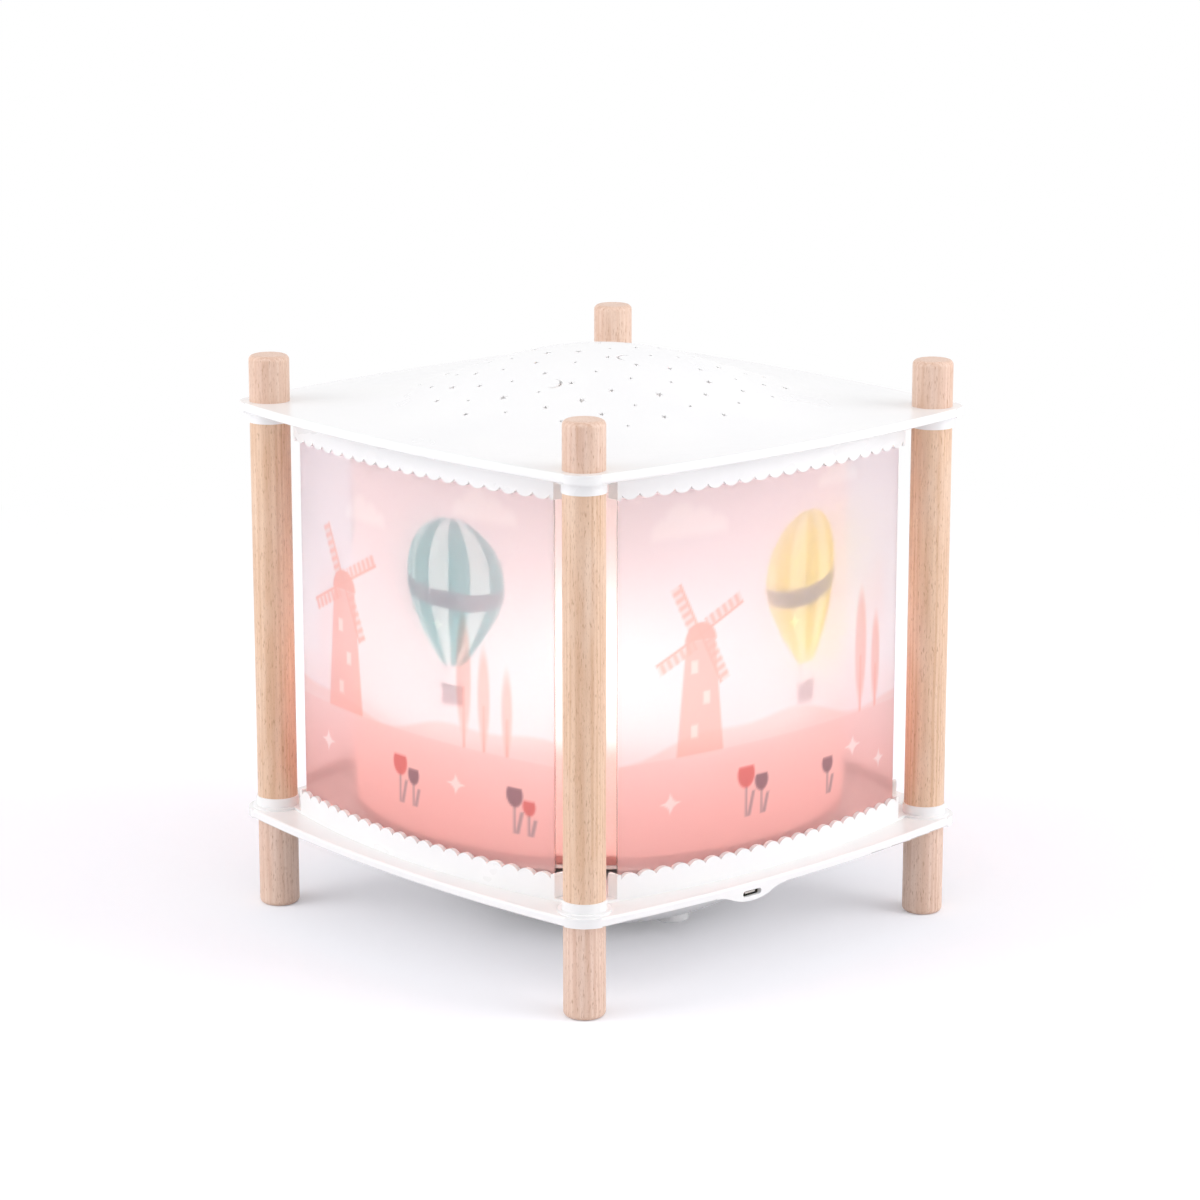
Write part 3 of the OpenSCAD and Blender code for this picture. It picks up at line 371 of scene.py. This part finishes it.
def windmill(picture, x, y, height, ink):
    """A windmill: a tower whose half width falls evenly with height, a half-round cap, small pale
    windows, and four narrow sails at right angles, each a strip beside its spar."""
    tower_top = 0.7 * height
    half = 0.17 * height * (1 - 0.4 * y / tower_top)
    tower = np.maximum(np.abs(x) - half, np.maximum(-y, y - tower_top))
    cap = np.maximum(np.hypot(x, y - tower_top) - 0.11 * height, tower_top - y)
    lay(picture, soft(tower), ink, 0.75)
    lay(picture, soft(cap), ink, 0.95)
    for row in range(3):
        window = np.maximum(np.abs(x - (row % 2 * 5 - 2.5)) - 1.4, np.abs(y - 10 - 11 * row) - 2.2)
        lay(picture, soft(window), "#FBE9E4", 0.9)
    hub = y - 0.74 * height
    for quarter in range(4):
        angle = 0.45 + quarter * math.pi / 2
        out = x * math.cos(angle) + hub * math.sin(angle)
        off = hub * math.cos(angle) - x * math.sin(angle)
        spar = np.maximum(np.abs(off) - 0.4, np.abs(out - 0.17 * height) - 0.17 * height)
        sail = np.maximum(np.abs(off - 2.2) - 1.8, np.abs(out - 0.2 * height) - 0.14 * height)
        lay(picture, soft(spar), ink)
        lay(picture, soft(sail) * (0.65 + 0.35 * np.sin(out * 2.2)), ink, 0.8)


def poplar(picture, x, y, height, ink):
    """A poplar: an upright ellipse on a thin trunk."""
    crown = (np.hypot(x / 0.17, y - 0.58 * height) - 0.42 * height) * 0.17
    trunk = np.maximum(np.abs(x) - 0.5, np.maximum(-y, y - 0.5 * height))
    lay(picture, soft(crown, 1.6), ink, 0.7)
    lay(picture, soft(trunk), ink)


def cloud(picture, x, y, size):
    """A cloud: four discs side by side with a flat underside."""
    puffs = [np.hypot(x - dx * size, y - dy * size) - r * size for dx, dy, r in (
        (-0.9, 0, 0.4), (-0.35, 0.25, 0.55), (0.3, 0.12, 0.5), (0.85, 0, 0.36))]
    lay(picture, soft(np.maximum(np.minimum.reduce(puffs), -0.15 * size - y), 4), "#FFFFFF", 0.5)


def sparkle(picture, x, y, size):
    """A four-pointed sparkle: the square roots of its two offsets, each over its size, add up to
    less than one."""
    star = (np.sqrt(np.abs(x) / size) + np.sqrt(np.abs(y) / size) - 1) * size * 0.8
    lay(picture, soft(star), "#FFFFFF", 0.9)


def tulip(picture, x, y, height, ink):
    """A tulip: an upright oval cup, cut flat at its rim, on a stem with one leaning leaf."""
    stem = np.maximum(np.abs(x) - 0.45, np.maximum(-y, y - 0.7 * height))
    leaf = np.maximum(np.abs(x - 1.2 - 0.25 * y) - 0.7, np.maximum(-y, y - 0.45 * height))
    cup = np.maximum(np.hypot(x, (y - 0.78 * height) * 0.8) - 0.2 * height, y - 0.92 * height)
    for shape in (stem, leaf):
        lay(picture, soft(shape), "#8E8A94", 0.7)
    lay(picture, soft(cup), ink, 0.95)


def picture_on_film(along, up):
    """The film's print as sRGB: balloons in teal, yellow and grey-mauve on a pale pink ground with
    a coral foot."""
    picture = np.ones((*along.shape, 3)) * rgb("#F9EDEE")
    lay(picture, soft(up - GROUND_Z, 9), "#F5C4BF", 0.9)
    teal, gold, mauve = ("#D3ECEA", "#369A9B"), ("#FBF09C", "#EDD02C"), ("#E6D6DE", "#8B7688")
    for place, middle, radius, tones, belt in (
            (402, 136, 21, teal, "#5F5668"), (22, 133, 22, gold, "#6A5C64"),
            (318, 144, 15, mauve, "#6BB7B6"), (100, 138, 18, teal, "#EDD54A"),
            (200, 134, 20, gold, "#5FB0B0")):
        x = (along - place + FILM_ROUND / 2) % FILM_ROUND - FILM_ROUND / 2
        balloon(picture, x, up - middle, radius, *tones, belt)
    return picture


def picture_on_panels(along, up):
    """The panels' print as sRGB, in a design of its own: a pale sky over coral ground, with
    windmills, poplars, clouds, tulips and sparkles. Each panel has its own stretch of it."""
    picture = np.ones((*along.shape, 3)) * rgb("#F4F4F8")
    # Sky: pinker towards the top and in broad uneven patches
    patch = 0.5 + 0.3 * np.sin(along / 21 + 0.6) + 0.2 * np.sin(along / 9 + up / 17)
    lay(picture, np.clip((up - 120) / 60, 0, 1), "#F3E8ED", 0.6)
    lay(picture, np.clip(patch, 0, 1), "#F5ECEF", 0.4)
    for place, middle, size in ((-38, 158, 12), (30, 166, 8), (120, 160, 12), (178, 150, 8),
                                (270, 162, 12), (330, 154, 9), (428, 152, 9), (488, 162, 11)):
        cloud(picture, along - place, up - middle, size)
    # Far hills and what stands on them
    hills = GROUND_Z + 5 + 3.5 * np.sin(along / 20 + 1.9) + 1.5 * np.sin(along / 8)
    lay(picture, soft(up - hills, 2), "#F0D2CE", 0.45)
    for place, height in ((-34, 58), (178, 62), (268, 60), (414, 64)):
        windmill(picture, along - place, up - HILL_FOOT_Z, height, "#EEBBB1")
    for place, height in ((44, 44), (53, 34), (104, 46), (113, 38), (196, 34), (242, 40), (338, 48),
                          (347, 38), (478, 46), (487, 36), (497, 30)):
        poplar(picture, along - place, up - HILL_FOOT_Z, height, "#EFC3BB")
    # Near ground: coral, deeper towards its foot
    near = soft(up - GROUND_Z)
    lay(picture, near, "#F1DCDC")
    lay(picture, near * np.clip((GROUND_Z - up) / 42, 0, 1), "#EDC6C2")
    red, plum = "#D06F6C", "#846874"
    for place, height, ink in ((-14, 19, red), (-7, 15, plum), (26, 14, plum), (134, 18, red),
                               (142, 14, plum), (300, 18, red), (308, 14, plum), (446, 18, red),
                               (453, 14, plum), (500, 17, plum), (506, 13, red)):
        tulip(picture, along - place, up - TULIP_FOOT_Z, height, ink)
    for place, middle, size in ((-46, 66, 5), (40, 70, 5), (56, 62, 4), (8, 120, 3.5),
                                (160, 66, 5), (282, 66, 5), (330, 70, 4), (402, 68, 5),
                                (474, 68, 5), (466, 122, 3.5)):
        sparkle(picture, along - place, up - middle, size)
    return picture


def printed_sheet(name, outer, inner, ink, endless):
    """A printed sheet as one closed skin: outer is a grid of points in mm, rows up and columns to
    the right as seen from outside, and inner is the top and the bottom row of the bare back. Its
    columns run round into themselves, or else both ends are closed."""
    co = np.concatenate([outer, inner]) * MM
    rows, columns = co.shape[:2]
    steps = columns if endless else columns - 1
    row, step = np.meshgrid(np.arange(rows), np.arange(steps), indexing="ij")
    next_row, next_step = (row + 1) % rows, (step + 1) % columns
    faces = np.stack([
        row * columns + step, row * columns + next_step,
        next_row * columns + next_step, next_row * columns + step,
    ], -1).reshape(-1, 4).tolist()
    if not endless:
        end = np.arange(rows) * columns
        faces += [end.tolist(), (end[::-1] + columns - 1).tolist()]
    print_on = np.zeros((rows, columns, 4))
    print_on[:len(outer), :, :3] = linear(ink)
    print_on[:len(outer), :, 3] = 1
    mesh = bpy.data.meshes.new(name)
    mesh.from_pydata(co.reshape(-1, 3), [], faces)
    carried = mesh.attributes.new("ink", "FLOAT_COLOR", "POINT")
    carried.data.foreach_set("color", print_on.ravel())
    mesh.polygons.foreach_set("use_smooth", np.ones(len(faces), bool))
    mesh.set_sharp_from_angle(angle=math.radians(40))
    return put(name, mesh)


def printed_film():
    """The film: a circle of points, carried up in rows about 1 mm apart."""
    angle, height = np.meshgrid(2 * math.pi * np.arange(FILM_COLUMNS) / FILM_COLUMNS,
                                np.linspace(FILM_LOW.z, FILM_HIGH.z, FILM_ROWS) / MM)
    outer = np.stack([np.cos(angle) * FILM_R, np.sin(angle) * FILM_R, height], -1)
    inner = outer[[-1, 0]] * [1 - FILM_WALL / FILM_R, 1 - FILM_WALL / FILM_R, 1]
    return printed_sheet("printed_film_cylinder", outer, inner,
                         picture_on_film(angle * FILM_R, height), True)


def printed_panel(number, name):
    """One panel: an arc of points in 0.66 mm steps, carried up in rows of the same size, and turned
    by so many quarters round the lamp."""
    reach = PANEL_HIGH.x / MM
    half = PANEL_HIGH.y / MM
    across, height = np.meshgrid(np.linspace(-half, half, PANEL_COLUMNS),
                                 np.linspace(PANEL_LOW.z, PANEL_HIGH.z, PANEL_ROWS) / MM)

    def arc(radius, span, up):
        """Points of one radius about the panel's centre of curvature, turned round the lamp."""
        out = reach - PANEL_ARC + np.sqrt(radius ** 2 - span ** 2)
        for _ in range(number):
            out, span = -span, out
        return np.stack([out, span, up], -1)

    outer = arc(PANEL_ARC, across, height)
    inner = arc(PANEL_ARC - PANEL_WALL, across[[-1, 0]], height[[-1, 0]])
    ink = picture_on_panels(across + number * PANEL_PITCH, height)
    return printed_sheet(f"printed_{name}", outer, inner, ink, False)


# ---------- studio ----------

def outward(azimuth, elevation):
    """Unit vector from the lamp towards a compass place: azimuth 0 is towards -Y, 90 towards +X."""
    a, e = math.radians(azimuth), math.radians(elevation)
    return Vector((math.sin(a) * math.cos(e), -math.cos(a) * math.cos(e), math.sin(e)))


def camera():
    """The photograph's camera."""
    made = put("camera", bpy.data.cameras.new("camera"))
    made.data.lens = CAMERA_LENS
    made.data.sensor_width = 36
    made.data.clip_start = 0.1
    made.data.clip_end = 20
    made.location = CAMERA_PLACE
    view = -outward(CAMERA_AZIMUTH, CAMERA_ELEVATION)
    made.rotation_euler = view.to_track_quat("-Z", "Y").to_euler()
    bpy.context.scene.camera = made


def softbox(name, azimuth, elevation, distance, width, height, watts):
    """A softbox that faces the lamp."""
    made = put(name, bpy.data.lights.new(name, "AREA"))
    made.data.shape = "RECTANGLE"
    made.data.size = width
    made.data.size_y = height
    made.data.energy = watts
    back = outward(azimuth, elevation)
    made.location = LAMP_MIDDLE + back * distance
    made.rotation_euler = back.to_track_quat("Z", "Y").to_euler()


def seen_directly(tree):
    """1 for rays that come straight from the camera, or through or off something clear or
    glossy."""
    seen = add(tree, "LightPath", give="Is Camera Ray")
    for kind in ("Is Transmission Ray", "Is Glossy Ray"):
        seen = add(tree, "Math", {"operation": "MAXIMUM"},
                   {0: seen, 1: add(tree, "LightPath", give=kind)})
    return seen


def white_surround():
    """A plain white world: white where it is seen, and a softer fill where it lights."""
    world = bpy.data.worlds.new("studio")
    world.use_nodes = True
    tree = world.node_tree
    tree.nodes.clear()
    fill = add(tree, "Background", {"Color": paint("#F6F5F8"), "Strength": WORLD_FILL})
    seen = add(tree, "Background", {"Color": paint("#FFFFFF"), "Strength": 1.0})
    both = add(tree, "MixShader", {}, {"Fac": seen_directly(tree), 1: fill, 2: seen})
    add(tree, "OutputWorld", links={"Surface": both})
    bpy.context.scene.world = world


def pale_floor():
    """A sweep of matt white paper under the lamp. It keeps the lamp's shadow, and where it is seen
    it lifts to plain white further out."""
    made, tree, place = new_material("matt_white_paper")
    fibre = grains(tree, place, (1.5, 1.5, 1.5), detail=2.0)
    tone = add(tree, "Mix", {
        "data_type": "RGBA", COLOUR_A: paint("#F0F0F3"), COLOUR_B: paint("#EBEBEF")},
        {FACTOR: fibre})
    paper = add(tree, "BsdfDiffuse", {"Roughness": 0.8}, {"Color": tone})
    lifted = add(tree, "Math", {"operation": "MULTIPLY", 1: FLOOR_LIFT}, {0: seen_directly(tree)})
    lift = add(tree, "Emission", {"Color": paint("#FFFEFF")}, {"Strength": lifted})
    near = add(tree, "AddShader", {}, {0: paper, 1: lift})
    away = add(tree, "VectorMath", {"operation": "LENGTH"}, {0: place}, "Value")
    far = add(tree, "MapRange", {"interpolation_type": "SMOOTHSTEP", "From Min": FLOOR_NEAR,
                                 "From Max": FLOOR_FAR}, {"Value": away})
    share = add(tree, "Math", {"operation": "MULTIPLY"}, {0: far, 1: seen_directly(tree)})
    white = add(tree, "Emission", {"Color": paint("#FFFFFF"), "Strength": 1.0})
    surface = add(tree, "MixShader", {}, {"Fac": share, 1: near, 2: white})
    add(tree, "OutputMaterial", links={"Surface": surface})
    mesh = bpy.data.meshes.new("floor")
    corners = [(x * FLOOR_HALF, y * FLOOR_HALF, 0) for x, y in ((-1, -1), (1, -1), (1, 1), (-1, 1))]
    mesh.from_pydata(corners, [], [(0, 1, 2, 3)])
    mesh.materials.append(made)
    floor = put("floor", mesh)


bpy.context.scene.view_settings.view_transform = "Standard"
camera()
white_surround()
pale_floor()
softbox("softbox_left", azimuth=CAMERA_AZIMUTH - 76, elevation=20, distance=1.2, width=0.9,
        height=1.2, watts=7.5)
softbox("softbox_right", azimuth=CAMERA_AZIMUTH + 76, elevation=20, distance=1.2, width=0.9,
        height=1.2, watts=8.5)
softbox("softbox_over", azimuth=CAMERA_AZIMUTH, elevation=80, distance=1.1, width=1.4,
        height=1.4, watts=1.7)


# ---------- dressing the lamp ----------

finishes = {
    # Polished mould: a clean white with long soft highlights and the faintest ripple
    "white_gloss": worked("polished_moulded_abs", ("#F3F3F2", "#F0F0F0"), (0.2, 0.28),
                          (30, 30, 18), (2.2, 2.2, 2.2), 0.012, IOR=1.53),
    "white_frame": worked("gloss_moulded_abs", ("#F2F2F1", "#EFEFEF"), (0.26, 0.34),
                          (24, 24, 14), (1.8, 1.8, 1.8), 0.012, IOR=1.53),
    # A duller mould inside: satin, a little creamier
    "white_inner": worked("satin_moulded_abs", ("#EFEFEC", "#EAEAE7"), (0.42, 0.5),
                          (24, 24, 24), (0.6, 0.6, 0.6), 0.02, IOR=1.53),
    "frosted_panel": frosted_sheet(),
    "printed_film": dyed_film(),
    "opal": lit_opal(),
    # Waxy ivory with a soft sheen
    "acetal": worked("moulded_acetal", ("#ECE8DB", "#E0DBCB"), (0.34, 0.44),
                     (4, 4, 4), (0.8, 0.8, 0.8), 0.02, IOR=1.48),
    # Bright zinc over turned lines, streaked one way
    "steel": worked("zinc_plated_turned_steel", ("#C9CBCD", "#9FA1A4"), (0.28, 0.42),
                    (0.6, 0.6, 0.15), (0.5, 0.5, 0.12), 0.01, Metallic=1.0),
    "spring_steel": worked("blackened_spring_steel", ("#4C4D52", "#3A3B40"), (0.34, 0.5),
                           (2, 2, 2), (0.4, 0.4, 0.4), 0.01, Metallic=1.0),
    "motor_can": worked("nickel_plated_drawn_steel", ("#D2D0CA", "#B6B4AE"), (0.22, 0.36),
                        (0.9, 0.9, 6), (0.6, 0.6, 4), 0.01, Metallic=1.0),
    "nickel_shell": worked("nickel_plated_pressed_steel", ("#D9D6CF", "#C2BFB8"), (0.18, 0.28),
                           (1.5, 1.5, 0.5), (0.5, 0.5, 0.5), 0.01, Metallic=1.0),
    "circuit_board": solder_mask("green_solder_mask", "#1C6B48", "#257A55"),
    "light_board": solder_mask("white_solder_mask", "#EFEFEA", "#E2E2DC"),
    # Phosphor grains under clear resin: a glossy yellow bead that glows
    "emitter": worked("phosphor_in_resin", ("#F3D24A", "#E5B92E"), (0.12, 0.2),
                      (0.25, 0.25, 0.25), (0.5, 0.5, 0.5), 0.01, IOR=1.5, Coat_Weight=1.0,
                      Coat_Roughness=0.05, Emission_Color=paint("#FFE9B0"), Emission_Strength=1.0),
    # Shrunk on hot: glossy blue with drawn wrinkles round the cell
    "cell_sleeve": worked("shrunk_pvc_sleeve", ("#3E74A4", "#356692"), (0.22, 0.34),
                          (6, 14, 6), (2.5, 9, 2.5), 0.08, IOR=1.53),
    # Extruded: dull red with faint draw lines
    "lead_sheath": worked("extruded_wire_insulation", ("#A8332C", "#8E2822"), (0.4, 0.52),
                          (3, 3, 3), (0.5, 0.5, 0.5), 0.02, IOR=1.52),
    # Spark-finished mould: dull charcoal
    "switch_body": worked("spark_textured_nylon", ("#232325", "#2F2F32"), (0.5, 0.64),
                          (1.5, 1.5, 1.5), (0.2, 0.2, 0.2), 0.02, IOR=1.53),
}
# Feet, posts and caps are cut from different stretches of dowel. The feet's paler, pinker tones are
# beech with a painted reflection: the white floor's reflected light painted into the wood
beech = {kind: turned_beech(f"turned_beech_{kind}", *look) for kind, look in {
    # Painted reflection: the foot's beech tones are lifted paler and pinker for light reflected
    # from the floor
    "foot": ((11.0, 3.0, 5.0), "#EACEBD", "#D6AF98"),
    "post": ((0.0, 0.0, 0.0), "#E7C6AA", "#D2A682"),
    "cap": ((4.0, 17.0, 9.0), "#E6C8B6", "#D2AA92"),
}.items()}

for name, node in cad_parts.items():
    for held in node.material_slots:
        slot = held.material.name
        held.material = beech[name.split("_")[0]] if slot == "beech" else finishes[slot]

film = printed_film()
film.data.materials.append(finishes["printed_film"])
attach(film, "turntable")
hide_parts("picture_cylinder")
for number, side in enumerate(("right", "back", "left", "front")):
    panel = printed_panel(number, f"panel_{side}")
    panel.data.materials.append(finishes["frosted_panel"])
    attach(panel, "frame")
    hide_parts(f"panel_{side}")
